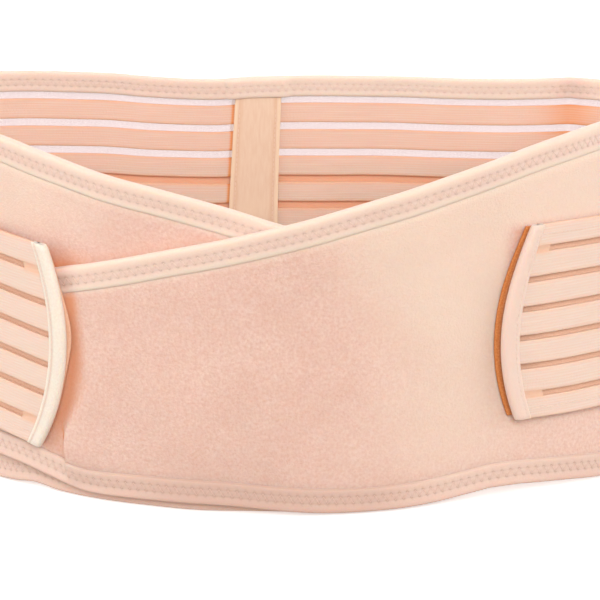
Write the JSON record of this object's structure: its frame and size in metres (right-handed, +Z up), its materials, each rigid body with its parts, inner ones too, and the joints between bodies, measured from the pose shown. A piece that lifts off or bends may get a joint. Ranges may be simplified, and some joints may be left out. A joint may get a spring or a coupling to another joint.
{
  "type": "postpartum belly band",
  "caption": "Postpartum belly band: closed waist loop with a slit elastic back, lapped plush front wings, folded edge tape, and slit elastic straps ending in round hook tabs.",
  "frame": {"origin": "middle of the footprint, at floor level", "axes": "+Z up the band, front with the lapped wings faces -Y, +X to the right seen from the front"},
  "size_m": [0.385, 0.1832, 0.179],
  "materials": {
    "elastic": "ribbed matt elastic weave",
    "plush": "short brushed nap",
    "binding": "soft folded tape with zigzag stitching",
    "stay_tape": "fine woven tape",
    "tab_tape": "soft folded tape, stitched",
    "hook_pad": "matt nylon hooks"
  },
  "bodies": {
    "root": {"back_panel": "elastic", "back_stay": "stay_tape", "left_wing": "plush", "right_wing": "plush", "left_strap": "elastic", "right_strap": "elastic", "left_tab_edge": "tab_tape", "right_tab_edge": "tab_tape", "left_hook_pad": "hook_pad", "right_hook_pad": "hook_pad", "top_binding_back": "binding", "top_binding_left": "binding", "top_binding_right": "binding", "bottom_binding_back": "binding", "bottom_binding_left": "binding", "bottom_binding_right": "binding"}
  },
  "joints": []
}
